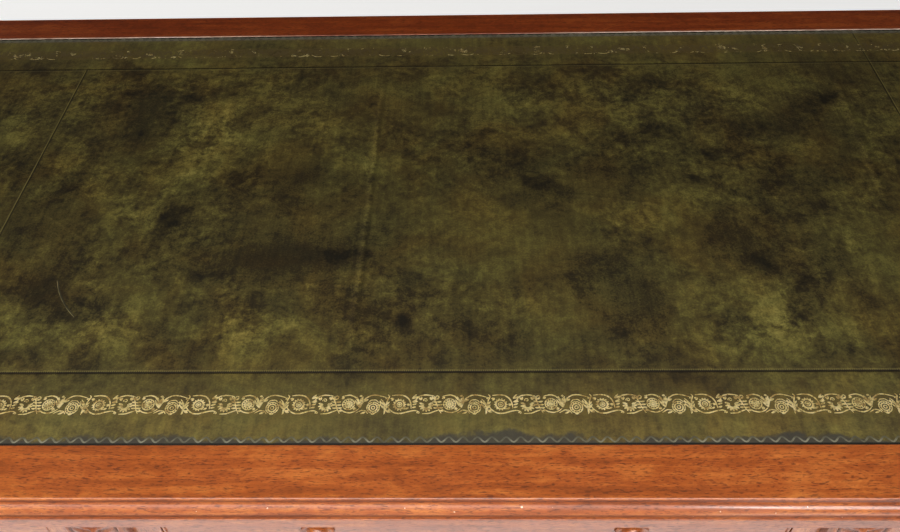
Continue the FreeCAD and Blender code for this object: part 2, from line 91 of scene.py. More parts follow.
# Shader sums: a wire is a socket that takes part in Python arithmetic
class Wire:
    def __init__(self, tree, socket=None):
        self.tree = tree
        self.socket = socket

    def make(self, kind, settings=None, inputs=None, output=0):  # any node: settings first, then sockets
        node = self.tree.nodes.new(kind)
        for key, value in (settings or {}).items():
            if key == "stops":
                while len(node.color_ramp.elements) < len(value):
                    node.color_ramp.elements.new(1)
                for element, (place, colour) in zip(node.color_ramp.elements, value):
                    element.position = place
                    element.color = (*colour, 1)
            else:
                setattr(node, key, value)
        for key, value in (inputs or {}).items():
            if isinstance(value, Wire):
                self.tree.links.new(value.socket, node.inputs[key])
            else:
                node.inputs[key].default_value = value
        return Wire(self.tree, node.outputs[output])

    def maths(self, operation, *values):
        return self.make("ShaderNodeMath", {"operation": operation}, dict(enumerate(values)))

    def __add__(self, other):
        return self.maths("ADD", self, other)

    def __radd__(self, other):
        return self.maths("ADD", other, self)

    def __sub__(self, other):
        return self.maths("SUBTRACT", self, other)

    def __rsub__(self, other):
        return self.maths("SUBTRACT", other, self)

    def __mul__(self, other):
        return self.maths("MULTIPLY", self, other)

    def __rmul__(self, other):
        return self.maths("MULTIPLY", other, self)

    def __truediv__(self, other):
        return self.maths("DIVIDE", self, other)

    def __rtruediv__(self, other):
        return self.maths("DIVIDE", other, self)

    def __abs__(self):
        return self.maths("ABSOLUTE", self)

    def least(self, other):
        return self.maths("MINIMUM", self, other)

    def most(self, other):
        return self.maths("MAXIMUM", self, other)

    def above(self, limit):
        return self.maths("GREATER_THAN", self, limit)

    def rise(self, low, high):  # 0 below low, 1 above high, smooth between
        return self.make(
            "ShaderNodeMapRange", {"interpolation_type": "SMOOTHSTEP"},
            {"Value": self, "From Min": low, "From Max": high},
        )

    def fall(self, low, high):  # 1 below low, 0 above high
        return 1 - self.rise(low, high)

    def band(self, low, up, down, high):  # rises from low to up, falls again from down to high
        return self.rise(low, up) * self.fall(down, high)

    def swing(self, reach):  # a noise about its middle
        return (self - 0.5) * reach

    def split(self):
        node = self.make("ShaderNodeSeparateXYZ", None, {0: self}).socket.node
        return [Wire(self.tree, out) for out in node.outputs]

    def joined(self, x, y, z):
        return self.make("ShaderNodeCombineXYZ", None, {0: x, 1: y, 2: z})

    def noise(self, scale, detail=2.0, rough=0.5, warp=0.0):
        return self.make(
            "ShaderNodeTexNoise", None,
            {"Vector": self, "Scale": scale, "Detail": detail, "Roughness": rough, "Distortion": warp},
        )

    def attribute(self, name):  # a number kept on the mesh's points
        return self.make("ShaderNodeAttribute", {"attribute_name": name}, None, 2)

    def colours(self, stops):  # a ramp over this value
        return self.make("ShaderNodeValToRGB", {"stops": stops}, {0: self})

    def mixed(self, colour, share, blend="MIX"):  # this colour turned towards another
        colour = colour if isinstance(colour, Wire) else (*colour, 1)
        return self.make(
            "ShaderNodeMix", {"data_type": "RGBA", "blend_type": blend}, {0: share, 6: self, 7: colour}, 2
        )

    def scaled(self, factor):  # a colour times a number
        return self.make("ShaderNodeVectorMath", {"operation": "SCALE"}, {0: self, "Scale": factor})

    def into(self, key):  # feeds a socket of the material's shader
        self.tree.links.new(self.socket, self.tree.nodes["Principled BSDF"].inputs[key])

    def bumped(self, strength, distance):  # this height as a bump on the shader
        inputs = {"Height": self, "Strength": strength, "Distance": distance}
        self.make("ShaderNodeBump", None, inputs).into("Normal")


def paint(red, green, blue):  # display colour of 0 to 255 as linear light, by the sRGB curve
    share = np.array([red, green, blue]) / 255
    light = np.where(share <= 0.04045, share / 12.92, ((share + 0.055) / 1.055) ** 2.4)
    return tuple(float(v) for v in light)


def newFinish(name, constants):  # a material, and a first wire with the object's own coordinates
    material = bpy.data.materials.new(name)
    material.use_nodes = True
    tree = material.node_tree
    for key, value in constants.items():
        tree.nodes["Principled BSDF"].inputs[key].default_value = value
    return material, Wire(tree).make("ShaderNodeTexCoord", output="Object")


# Polished mahogany: stretched noise for the growth streaks, cross ripple and open pores
mahogany = {
    "deep": paint(74, 33, 13), "middle": paint(148, 74, 28), "bright": paint(196, 118, 53),
    "stops": (0.30, 0.50, 0.70),  # shades of those three
    "pore": paint(70, 28, 12), "poreShare": 0.70,
    # noise scales per metre, along and across the grain
    "sway": (2.6, 2.0), "curl": (16.0, 22.0), "streaks": (7.0, 150.0), "broad": (1.6, 10.0),
    "ripple": (40.0, 70.0), "pores": (150.0, 900.0), "dashes": (105.0, 520.0),
    "swayReach": 20 * mm, "curlReach": 5 * mm,  # how far the grain wanders
    "broadShare": 0.18, "streakShare": 0.38, "rippleShare": 0.28, "shadeLift": 0.095,
    "paleNickAndHighlight": paint(232, 206, 182), "nickScale": 230.0, "nickShare": 0.6,
    "highlightWidth": 3.2 * mm, "highlightGap": (-0.50, -0.20, 0.04, 0.26),  # along x, where the arris carries no painted highlight
    "quirkShadeFade": 0.4 * mm, "edgeFade": 1.0 * mm, "topFade": (0.5 * mm, 0.1 * mm),
    "glossy": (0.16, 0.32),  # where along its right-hand end the moulding kept its gloss
    "rough": 0.34, "dullRough": 0.16, "coatRough": 0.12, "coatLeast": 0.03, "index": 1.5,
    "bump": 0.12, "bumpHeight": 0.6 * mm,
}


def grainPlace(place, grain, frameHalf=None):
    # (along, across, across) of the grain; a mitred frame runs along its nearer side
    x, y, z = place.split()
    if grain == "x":
        return x, y, z
    if grain == "y":
        return y, x, z
    if grain == "z":
        return z, x, y
    middle, halfX, halfY = frameHalf
    side = ((abs(abs(x) - middle) - halfX) - (abs(y) - halfY)).above(0)
    return side * y + (1 - side) * x, side * x + (1 - side) * y, z


def stretched(lanes, scales, detail, rough=0.5, warp=0.0):  # noise drawn out along the grain
    along, across, depth = lanes
    end, side = scales
    return along.joined(along * end, across * side, depth * side).noise(1.0, detail, rough, warp)


def makeMahogany(
    name, grain, s, tone=(1, 1, 1), polish=0.4, frameHalf=None, quirks=(), carved=False, highlightEdge=None
):
    shine = {
        "Coat Weight": polish, "Coat Roughness": s["coatRough"], "IOR": s["index"], "Coat IOR": s["index"],
    }
    material, place = newFinish(name, shine)
    along, across, depth = grainPlace(place, grain, frameHalf)
    sway = stretched((along, across, depth), s["sway"], 2.0).swing(s["swayReach"])
    curl = stretched((along, across, depth), s["curl"], 2.0).swing(s["curlReach"])
    lanes = along, across + sway + curl, depth  # the grain wanders as it runs

    streaks = stretched(lanes, s["streaks"], 5.0, 0.62)
    broad = stretched(lanes, s["broad"], 3.0, 0.55, 0.4)
    ripple = stretched(lanes, s["ripple"], 4.0, 0.6, 0.8)
    pores = stretched(lanes, s["pores"], 2.0, 0.55).rise(0.55, 0.68)
    pores = pores.most(stretched(lanes, s["dashes"], 2.0).rise(0.55, 0.70) * 0.9)
    shade = broad * s["broadShare"] + streaks * s["streakShare"] + ripple * s["rippleShare"] + s["shadeLift"]
    colours = [tuple(t * c for t, c in zip(tone, s[key])) for key in ("deep", "middle", "bright")]
    wood = shade.colours(list(zip(s["stops"], colours))).mixed(s["pore"], pores * s["poreShare"])

    x, y, height = place.split()
    if highlightEdge:  # a painted highlight along an inner edge, least along its middle
        edge = y.fall(highlightEdge, highlightEdge + s["highlightWidth"]) * (ripple * 1.6 - 0.1)
        wood = wood.mixed(s["paleNickAndHighlight"], edge * (1 - x.band(*s["highlightGap"]) * 0.85))
    for low, high, dark in quirks:  # painted shade darkens the quirks of a moulding
        quirkShade = height.band(low, low + s["quirkShadeFade"], high - s["quirkShadeFade"], high)
        wood = wood.mixed(s["pore"], quirkShade * (dark + ripple * 0.2))
    if carved:  # and the cuts of the carving
        wood = wood.mixed(s["pore"], place.attribute("cut") * (0.55 + ripple * 0.4))
    rough = s["rough"] + place.noise(14.0, 3.0) * 0.14 + pores * 0.10
    if quirks:  # the moulding under the edge is rubbed dull where the sitter leans
        upperQuirk = quirks[0][0]
        under = height.fall(upperQuirk - s["edgeFade"], upperQuirk)
        low, high = (deskTop - fade for fade in s["topFade"])
        glossy = along.rise(*s["glossy"]) * height.fall(low, high)
        dull = under * (1 - glossy)
        nicks = place.noise(s["nickScale"], 1.0).rise(0.77, 0.79) * under
        wood = wood.mixed(s["paleNickAndHighlight"], nicks * s["nickShare"])
        coat = (1 - dull) * polish + glossy * (1 - polish) + s["coatLeast"]
        coat.least(1.0).into("Coat Weight")
        rough = rough + dull * s["dullRough"]
    wood.into("Base Color")
    rough.into("Roughness")
    (pores * -0.5 + streaks * 0.25 + place.noise(45.0, 1.0) * 0.5).bumped(s["bump"], s["bumpHeight"])
    return material


# Drawer linings and hidden boards in plain pale wood
plainWood = {
    "oak": {"deep": paint(120, 84, 46), "bright": paint(190, 150, 98), "rough": 0.62},
    "pine": {"deep": paint(138, 98, 56), "bright": paint(196, 158, 106), "rough": 0.75},
}
plainGrain = {
    "rings": (1.5, 60.0), "flecks": (40.0, 700.0), "fleckShare": 0.35, "fleckTone": 0.5,
    "bump": 0.15, "bumpHeight": 0.5 * mm,
}


def makePlainWood(name, grain, s, g):
    material, place = newFinish(name, {})
    lanes = grainPlace(place, grain)
    rings = stretched(lanes, g["rings"], 4.0, 0.6)
    flecks = stretched(lanes, g["flecks"], 2.0).rise(0.55, 0.75)
    wood = (rings * 1.1 - 0.05).colours([(0.25, s["deep"]), (0.75, s["bright"])])
    dark = tuple(g["fleckTone"] * c for c in s["deep"])
    wood.mixed(dark, flecks * g["fleckShare"]).into("Base Color")
    (s["rough"] + flecks * 0.1).into("Roughness")
    (rings * 0.5 - flecks).bumped(g["bump"], g["bumpHeight"])
    return material


# Leather lining: a mottled hide, darker along its edges, with blind rules pressed in
leatherSet = {
    "tones": (
        (0.34, paint(22, 19, 13)), (0.44, paint(42, 35, 20)), (0.53, paint(64, 56, 29)),
        (0.62, paint(84, 76, 38)), (0.74, paint(112, 102, 54)),
    ),
    "tints": ((0.36, (0.95, 1.01, 0.92)), (0.50, (1.0, 1.0, 0.88)), (0.64, (1.07, 0.97, 0.80))),
    "edge": paint(52, 50, 46), "line": paint(20, 14, 8), "pale": paint(112, 102, 58),
    "backHighlight": paint(108, 103, 92), "toolGround": paint(112, 88, 42),
    # noises: plane of the draw, scale per metre, detail, roughness and warp
    "noises": {
        "clouds": (0.0, 5.5, 8.0, 0.68, 0.3), "blots": (3.7, 19.0, 8.0, 0.74, 0.3),
        "grit": (0.0, 85.0, 6.0, 0.74, 0.3), "fine": (0.0, 420.0, 3.0, 0.7),
        "busy": (6.3, 3.4, 3.0, 0.5, 0.5), "spots": (8.1, 11.0, 7.0, 0.72, 0.2),
        "tint": (5.2, 10.0, 5.0, 0.62, 0.6), "ragged": (0.0, 24.0, 5.0, 0.65), "drift": (9.4, 6.0, 2.0),
    },
    "cloudSwing": 0.33, "blotSwing": 0.58, "gritSwing": 0.47, "fineSwing": 0.26, "middle": 0.515,
    "brush": (150.0, 9.0), "brushSwing": 0.12,  # strokes towards the sitter
    "pebbles": 520.0, "bump": 0.35, "bumpHeight": 0.7 * mm,
    # bands by their distance from the hide's edge
    # within the rubbed band the hide is painted paler towards its edge, as painted light
    "mottled": (30 * mm, 150 * mm), "rubbed": (0.0, 130 * mm),
    "toolBand": (35 * mm, 38 * mm, 60.5 * mm, 63.5 * mm), "joint": (1.9 * mm, 3.0 * mm, 4.6 * mm),
    "backHighlightBand": (3.6 * mm, 5.6 * mm, 8.0 * mm, 13.0 * mm), "edgeBand": 10.5 * mm,
    "raggedReach": 42 * mm, "driftReach": 50 * mm, "backTrim": 6 * mm,
    # bands along y, towards the back
    # far sets where the hide is painted paler towards the back, as painted light
    "far": (0.02, 0.24), "back": (0.28, 0.33),
    "ruleInset": 91 * mm, "ruleWidth": 2.5 * mm, "ruleDepth": 0.45 * mm, "tooth": 2.4 * mm,
    "seamWidth": 1.6 * mm, "seamDepth": 0.5 * mm, "seamLip": 3.0 * mm, "lipHeight": 0.3 * mm,
    "seamFade": 6 * mm,  # over which a seam is lost under the tooled border
    "edgeDrop": 0.5 * mm, "edgeRound": 1.6 * mm, "calmEdge": 30 * mm,
    # creases of the hide, painted as a highlight on the ridge and a shadow on the flank: from, to and half
    # width in millimetres, then how pale
    "folds": (
        (-135, 292, -139, -292, 5.0, 0.42), (551, 285, 532, -40, 7.0, 0.34),
        (414, 194, 464, 128, 3.5, 0.36), (100, -2, 270, -34, 3.5, 0.24),
        (-214, -166, -110, -168, 3.0, 0.24), (-566, -36, -480, -94, 3.0, 0.24),
    ),
    "foldWander": (14 * mm, 6 * mm), "flankPlace": 1.2, "flankShare": 0.7,
    # long waves of the hide: radians per metre along x and y, phase and share of the swell
    "waves": (
        (23.0, 9.0, 0.6, 1.0), (-11.0, 31.0, 2.1, 1.0), (47.0, -17.0, 4.0, 0.6), (29.0, 53.0, 1.3, 0.5)
    ),
    "swell": 0.056 * mm,  # how far each wave rises and falls
    # stained and rubbed places: middle, reach along x and y in millimetres, darker or paler
    "stains": (
        (-480, 150, 38, 80, -1.0), (-230, -120, 105, 24, -1.0), (-225, 35, 38, 28, -0.9),
        (-515, -170, 32, 38, -1.0), (430, 145, 70, 32, -0.8), (335, -95, 66, 46, -0.7),
        (205, -190, 30, 32, -0.8), (580, 255, 52, 40, -0.8), (-370, 135, 44, 66, 1.0),
        (-445, -40, 38, 30, 0.9), (215, -60, 34, 34, 0.9), (340, -230, 46, 38, 0.8),
        (-265, -228, 46, 32, 0.8), (-415, -233, 46, 32, 0.8),
    ),
    "step": 7 * mm,
    "near": (-4, -2.4, -1.4, -0.8, -0.4, 0, 0.4, 0.8, 1.4, 2.4, 4),  # millimetres from an edge or a rule
}


def makeLeather(name, s):
    material, place = newFinish(name, {"IOR": 1.45, "Specular IOR Level": 0.22})
    x, y = place.split()[:2]
    flat = place.joined(x, y, 0.0)
    noises = {key: place.joined(x, y, plane).noise(*rest) for key, (plane, *rest) in s["noises"].items()}
    clouds, blots, grit, fine = (noises[key] for key in ("clouds", "blots", "grit", "fine"))
    insetX, insetY = leatherHalf[0] - abs(x), leatherHalf[1] - abs(y)
    inset = insetX.least(insetY)  # distance from the hide's edge
    back = y.rise(*s["back"])

    # mottle with calm and busy parts, stains in flecks and dark spots, all weaker towards the edge
    mottle = blots.swing(s["blotSwing"]) + grit.swing(s["gritSwing"])
    mottle = mottle * (0.52 + noises["busy"].rise(0.40, 0.60) * 0.6)
    shade = s["middle"] + clouds.swing(s["cloudSwing"]) + mottle + fine.swing(s["fineSwing"])
    flecks = blots.rise(0.40, 0.60) * 0.11 + grit.rise(0.38, 0.62) * 0.05
    shade = shade + place.attribute("stain") * flecks
    shade = shade - (noises["spots"] + grit.swing(0.40)).rise(0.55, 0.68) * 0.13
    brushX, brushY = s["brush"]
    brushed = place.joined(x * brushX, y * brushY, 0.0).noise(1.0, 3.0, 0.6).swing(s["brushSwing"])
    shade = 0.5 + shade.swing(0.5 + inset.rise(*s["mottled"]) * 0.5) + brushed
    hide = shade.colours(s["tones"]).mixed(noises["tint"].colours(s["tints"]), 1.0, "MULTIPLY")

    # painted light: the hide is painted paler outside the rule and towards the back; each crease is a painted
    # highlight on its ridge with a painted shadow on its flank
    rubbed = 2.05 - inset.rise(*s["rubbed"]) * 0.95 + y.rise(*s["far"]) * 0.42
    blotReach, gritReach = s["foldWander"]
    wander = blots.swing(blotReach) + grit.swing(gritReach)
    for x0, y0, x1, y1, half, pale in s["folds"]:
        length = math.hypot(x1 - x0, y1 - y0) * mm
        toX, toY = (x1 - x0) * mm / length, (y1 - y0) * mm / length
        away = (x - x0 * mm) * toY - (y - y0 * mm) * toX + wander
        along = ((x - x0 * mm) * toX + (y - y0 * mm) * toY) / length
        ends = along.band(0.0, 0.2, 0.8, 1.0) * (0.4 + grit * 1.2)
        ridgeHighlight = abs(away).fall(0.0, half * mm)
        flankShadow = abs(away + s["flankPlace"] * half * mm).fall(0.0, half * mm)
        rubbed = rubbed + (ridgeHighlight - flankShadow * s["flankShare"]) * ends * pale
    hide = hide.scaled(rubbed)

    # the tooled band is warmed by the hot tools, and the hide's edge is ragged and grey
    hide = hide.mixed(s["toolGround"], inset.band(*s["toolBand"]) * 0.14)
    ragged = inset + noises["ragged"].swing(s["raggedReach"]) + back * s["backTrim"]
    ragged = ragged - (noises["drift"] - 0.48) * (1 - back) * s["driftReach"]
    hide = hide.mixed(s["edge"], ragged.fall(0.6 * s["edgeBand"], 1.25 * s["edgeBand"]) * 0.85)

    # blind rule: a dark line, toothed by the wheel and pressed unevenly, beside a painted highlight along its
    # lip
    side = insetX.maths("LESS_THAN", insetX, insetY)
    along = side * y + (1 - side) * x
    tooth = along.maths("SINE", along * (2 * math.pi / s["tooth"])) * 0.5 + 0.5
    tooth = tooth * (0.2 + grit * 1.3)
    fromRule, width = inset - s["ruleInset"], s["ruleWidth"]
    lip = fromRule.band(0.5 * width, 0.8 * width, 1.0 * width, 1.8 * width)
    hide = hide.mixed(s["pale"], lip * (0.52 - tooth * 0.34))
    rule = abs(fromRule - tooth * 0.36 * width).fall(0.4 * width, 0.75 * width)

    # seams, each with a painted highlight along its lip: the left one is lost under the tooled border, the
    # right one shows through it
    fromSeam = (leftSeam - x).most(x - rightSeam)  # positive on the outer lengths
    shown = inset.rise(s["ruleInset"] - s["seamFade"], s["ruleInset"]).most(x.above(0) * 0.8)
    ridgeHighlight = fromSeam.band(0.0, 0.4 * s["seamLip"], 0.6 * s["seamLip"], s["seamLip"])
    hide = hide.mixed(s["pale"], ridgeHighlight * 0.55 * shown)
    seam = abs(fromSeam).fall(0.3 * s["seamWidth"], 0.9 * s["seamWidth"])

    # dark joint with the wood, wider at the back, where a painted highlight lies along the edge beside it
    start, end, wide = s["joint"]
    joint = 1 - inset.rise(start, end) * (1 - back * inset.fall(end, wide))
    hide = hide.mixed(s["line"], rule.most(seam * shown * 0.9).most(joint) * 0.9)
    backHighlight = inset.band(*s["backHighlightBand"]) * back
    hide.mixed(s["backHighlight"], backHighlight * (0.45 + blots * 0.8)).into("Base Color")
    (0.62 - clouds * 0.16 + fine * 0.1).into("Roughness")
    cells = {"Vector": flat, "Scale": s["pebbles"]}
    pebbles = flat.make("ShaderNodeTexVoronoi", {"feature": "SMOOTH_F1"}, cells)
    (fine * 0.8 + pebbles * 0.5 + grit * 0.8).bumped(s["bump"], s["bumpHeight"])
    return material


# Gold leaf, pressed and rubbed unevenly, darkened towards the back by painted shade
goldSet = {
    "leaf": paint(240, 220, 154), "worn": paint(138, 114, 62), "backShade": paint(76, 62, 34),
    "bright": paint(253, 235, 180), "rubbed": paint(168, 132, 76), "unevenShare": 0.75,
    "wearScale": 420.0, "patchScale": 130.0, "unshadedScale": 70.0, "unshadedShare": 0.75,
    "innerLine": (56 * mm, 58 * mm),  # from the hide's edge, where most of the leaf is left unshaded at the back
    "mostBackShade": 0.98, "backShadeBand": (-0.30, 0.30),  # painted shade along y, towards the back
}


def makeGold(name, s):
    material, place = newFinish(name, {"Specular IOR Level": 0.4})
    y = place.split()[1]
    wear = place.noise(s["wearScale"], 3.0, 0.7).rise(0.46, 0.70)
    inner = (leatherHalf[1] - y).rise(*s["innerLine"])
    unshaded = (place.noise(s["unshadedScale"], 3.0, 0.6) + inner * 0.07).rise(0.58, 0.68) * s["unshadedShare"]
    # painted shade: the leaf turns dark and less metallic towards the back, apart from a few unshaded specks
    backShade = y.rise(*s["backShadeBand"]) * (s["mostBackShade"] - unshaded)
    patch = place.noise(s["patchScale"], 2.0, 0.6)
    leaf = wear.colours([(0.0, s["leaf"]), (1.0, s["worn"])])
    leaf = leaf.mixed(s["bright"], patch.rise(0.50, 0.62) * s["unevenShare"])
    leaf = leaf.mixed(s["rubbed"], patch.fall(0.36, 0.48) * s["unevenShare"])
    leaf.mixed(s["backShade"], backShade).into("Base Color")
    (0.86 - wear * 0.15 - backShade * 0.7).into("Metallic")
    (0.58 + wear * 0.1).into("Roughness")
    return material


def makeBlindLine(name, low, high, highlightFade=None):
    material, place = newFinish(name, {"Specular IOR Level": 0.35})
    tint = place.noise(48.0, 4.0, 0.65)
    line = tint.colours([(0.36, paint(*low)), (0.62, paint(*high))])
    if highlightFade:  # painted highlight: pale only where the line runs nearest the hide's edge
        x, y = place.split()[:2]
        inset = (leatherHalf[0] - abs(x)).least(leatherHalf[1] - abs(y))
        line = line.mixed(paint(*low), inset.rise(*highlightFade) * 0.9)
    line.into("Base Color")
    (0.45 + tint * 0.2).into("Roughness")
    return material


brassSet = {"bright": paint(204, 160, 84), "dull": paint(112, 80, 36), "tarnishScale": 160.0}


def makeBrass(name, s):
    material, place = newFinish(name, {"Metallic": 1.0})
    tarnish = place.noise(s["tarnishScale"], 4.0, 0.6).rise(0.35, 0.75)
    tarnish.colours([(0.0, s["bright"]), (1.0, s["dull"])]).into("Base Color")
    (0.28 + tarnish * 0.25).into("Roughness")
    return material


print("finishes defined")


# Meshes from whole arrays
def meshPiece(name, points, faces, body, material):
    mesh = bpy.data.meshes.new(name)
    mesh.from_pydata(points.reshape(-1, 3), [], faces.tolist())
    mesh.polygons.foreach_set("use_smooth", np.ones(len(mesh.polygons), bool))
    mesh.materials.append(material)
    mesh.update()
    piece = bpy.data.objects.new(name, mesh)
    bpy.context.scene.collection.objects.link(piece)
    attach(piece, body)
    return piece


def keepOnPoints(piece, name, values):  # a number for each point, for the finish to read
    layer = piece.data.attributes.new(name, "FLOAT", "POINT")
    layer.data.foreach_set("value", values.ravel())


def gridFaces(rows, columns, closed=False):  # quads of a grid, row after row; closed joins the last column on
    column = np.arange(columns if closed else columns - 1)
    row = np.arange(rows - 1)[:, None] * columns
    here, beside = row + column, row + (column + 1) % columns
    return np.stack([here, here + columns, beside + columns, beside], axis=-1).reshape(-1, 4)


def bump(value, middle, width):  # a bell of height 1
    return np.exp(-(((value - middle) / width) ** 2))


def smoothStep(value, start, end):  # 0 before start, 1 after end
    t = np.clip((value - start) / (end - start), 0, 1)
    return t * t * (3 - 2 * t)


def hideHeight(x, y, s):
    # height of the hide over its plane: a sum of long waves, less the pressed rules and seams
    waves = sum(share * np.sin(perX * x + perY * y + phase) for perX, perY, phase, share in s["waves"])
    inset = np.minimum(leatherHalf[0] - np.abs(x), leatherHalf[1] - np.abs(y))
    fromSeam = np.maximum(leftSeam - x, x - rightSeam)
    rule = bump(inset, s["ruleInset"], 0.5 * s["ruleWidth"])
    seam = bump(fromSeam, 0, 0.6 * s["seamWidth"])
    lip = bump(fromSeam, 0.55 * s["seamLip"], 0.45 * s["seamLip"])
    edge = bump(inset, 0, s["edgeRound"])
    calm = np.clip(inset / s["calmEdge"], 0, 1)
    inner = np.clip((inset - s["ruleInset"]) / s["seamFade"] + 1, 0, 1)
    raised = s["swell"] * waves * calm + s["lipHeight"] * lip * inner
    return raised - s["ruleDepth"] * rule - s["seamDepth"] * seam * inner - s["edgeDrop"] * edge


def hideStains(x, y, s):
    # sum of soft round places
    middle, reach, tone = np.split(np.array(s["stains"], float), [2, 4], axis=1)
    away = (np.stack([x, y], -1)[..., None, :] / mm - middle) / reach
    return (np.exp(-(away ** 2).sum(-1)) * tone[:, 0]).sum(-1)


def spread(low, high, step, marks, offsets):
    # even places from low to high, with close places about each mark
    apart = 0.15 * mm  # nearer places are dropped
    count = max(2, int(round((high - low) / step)) + 1)
    close = (np.asarray(marks)[:, None] + np.asarray(offsets)[None, :]).ravel()
    close = close[(close > low) & (close < high)]
    places = np.unique(np.concatenate([np.linspace(low, high, count), close]))
    keep = np.concatenate([[True], np.diff(places) > apart])
    keep[-1] = True
    return places[keep]


def makeLeatherPanels(s, material):
    near = np.array(s["near"]) * mm
    halfX, halfY = leatherHalf
    ruleX, ruleY = leatherHalf - s["ruleInset"]
    spans = ("left", -halfX, leftSeam), ("centre", leftSeam, rightSeam), ("right", rightSeam, halfX)
    for side, low, high in spans:
        x = spread(low, high, s["step"], [-ruleX, ruleX, low, high], near)
        y = spread(-halfY, halfY, s["step"], [-ruleY, ruleY, -halfY, halfY], near)
        wideX = np.concatenate([x[:1], x, x[-1:]])  # the outer ring turns down as the cut edge
        wideY = np.concatenate([y[:1], y, y[-1:]])
        gx, gy = np.meshgrid(wideX, wideY)
        gz = leatherZ + hideHeight(gx, gy, s)
        skirt = np.ones_like(gz, bool)
        skirt[1:-1, 1:-1] = False
        gz = np.where(skirt, leatherZ - leatherThick, gz)
        points = np.stack([gx, gy, gz], axis=-1)
        faces = gridFaces(len(wideY), len(wideX))[:, ::-1]
        piece = meshPiece(f"leatherHide_{side}", points, faces, "carcase", material)
        keepOnPoints(piece, "stain", hideStains(gx, gy, s))
        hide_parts(f"leather_{side}_panel")


# Gold tooling: one period of a scroll and flower roll, in millimetres along and across the border
goldRoll = {
    "inset": 36.2 * mm, "width": 25.8 * mm, "tall": 1.12, "start": 11.7,
    "period": 107 * mm, "drawn": 101 * mm,  # as pressed, and as drawn below
    "points": 15, "lift": 0.06 * mm, "rise": 0.10 * mm, "weight": 1.16,
    # each scroll: half width, then the places it runs through
    "scrolls": (
        (0.66, (7.6, 21.6), (14.0, 22.4), (20.0, 21.6), (24.4, 18.4), (27.0, 13.0), (27.4, 6.8)),
        (0.66, (2.6, 10.8), (6.8, 5.0), (11.6, 1.7), (17.6, 1.3), (24.6, 3.6), (31.0, 5.0), (34.6, 3.8)),
        (0.66, (31.4, 16.8), (35.4, 21.0), (41.4, 22.4), (49.0, 21.4)),
        (0.60, (38.4, 1.2), (45.4, 1.5), (50.8, 3.8), (55.6, 5.6)),
        (
            0.62, (57.4, 1.6), (54.4, 6.7), (52.6, 12.6), (50.4, 17.4), (52.8, 21.8), (55.4, 20.0),
            (54.0, 17.4),
        ),
        (0.66, (58.8, 20.8), (65.8, 22.4), (71.0, 20.8), (74.6, 16.0), (76.8, 9.6)),
        (0.60, (57.6, 6.6), (61.8, 3.4), (67.6, 2.2), (73.2, 4.2), (76.6, 7.2)),
        (
            0.60, (77.4, 7.6), (79.4, 13.4), (82.4, 18.6), (87.2, 21.8), (92.6, 22.4), (98.4, 21.0),
            (103.0, 19.4),
        ),
        (0.56, (73.2, 2.0), (78.6, 5.2), (83.2, 4.6), (85.6, 1.4)),
        (0.52, (84.8, 12.8), (87.6, 16.4), (92.6, 16.8), (96.4, 13.4)),
        (0.58, (101.6, 0.6), (101.8, 8.6), (100.4, 14.6), (97.6, 17.6)),
        (0.58, (102.4, 1.4), (103.0, 10.0), (104.2, 15.6), (106.4, 20.6), (104.6, 22.6)),
    ),
    # curls: middle and radius; all wind alike, by start in degrees, turns and half width
    "curls": ((34.6, 2.3, 1.5), (49.4, 19.8, 1.6), (41.6, 16.2, 2.3), (104.2, 18.0, 1.4), (77.6, 20.8, 1.2)),
    "curlWinding": (200, -1.2, 0.45),
    # rings: middle, radius and half width
    "rings": (
        (15.6, 11.4, 5.0, 0.85), (15.6, 11.4, 2.5, 0.5), (15.6, 11.4, 0.8, 0.6),
        (65.6, 11.9, 6.0, 0.55), (65.6, 11.9, 3.6, 0.4), (65.6, 11.9, 1.1, 0.7),
        (90.4, 8.0, 6.3, 0.5), (90.4, 8.0, 4.1, 0.6), (90.4, 8.0, 1.7, 0.5),
    ),
    # flowers: middle, inner and outer reach of the petals, how many, half width
    "flowers": (
        (15.6, 11.4, 5.4, 6.9, 14, 0.55), (65.6, 11.9, 1.8, 5.4, 12, 0.52), (90.4, 8.0, 4.4, 6.2, 12, 0.3),
    ),
    "petalBend": 12,  # degrees
    # fan: middle, inner reach, headings, length, bend and half width of its leaves
    "fan": (42.4, 10.6, 2.2, (160, 190, 217, 244, 271, 298, 325, 355, 22), 5.2, 0, 0.86),
    # sprays: foot, headings, leaf length
    "sprays": (
        (28.0, 18.2, (42, 12), 6.2), (28.2, 14.4, (16, -6), 5.6), (28.2, 11.0, (8,), 5.0),
        (28.2, 8.0, (2,), 4.2), (26.4, 12.0, (200, 230), 3.4), (53.0, 14.4, (-8, 184), 4.8),
        (53.6, 11.2, (-12, 190), 5.0), (54.4, 8.0, (-14, 196), 5.0), (56.0, 4.8, (-16,), 4.4),
        (52.0, 17.2, (20, 160), 3.6), (77.2, 8.0, (128, 108, 90, 72), 10.6), (76.4, 13.6, (120, 60), 7.6),
        (80.6, 15.0, (60, 20), 5.0), (78.4, 1.4, (14,), 5.4), (88.6, 0.9, (0,), 4.0),
        (102.4, 6.4, (-52, 140, 46), 6.6), (102.6, 10.6, (150, 128, 40), 5.6), (98.0, 12.4, (110, 250), 3.6),
        (2.6, 4.2, (-30, 10), 4.6), (37.0, 16.4, (80, 130), 3.6), (47.2, 16.6, (60, 110), 3.6),
        (9.6, 18.6, (200, 250), 3.4), (21.6, 6.4, (160, 20), 3.6), (61.0, 18.8, (200, 150), 3.2),
        (70.8, 5.4, (30, 60), 3.4),
    ),
    "leafHalf": 0.74, "leafUpright": 90, "leafTurn": 0.25,  # each leaf turns a share of its way upright
    # corner square: petals as a flower's, rings, and sprigs by their reach, length, half width and headings
    "cornerPetals": (2.4, 7.2, 10, 1.2), "cornerRings": ((8.6, 0.62), (1.6, 0.5)),
    "cornerSprigs": (9.6, 4.6, 0.8, (-75, 0, 75)),
}
hideSides = (  # sides of the hide, and half the length of each
    ("front", leatherHalf[0]), ("back", leatherHalf[0]), ("left", leatherHalf[1]), ("right", leatherHalf[1])
)


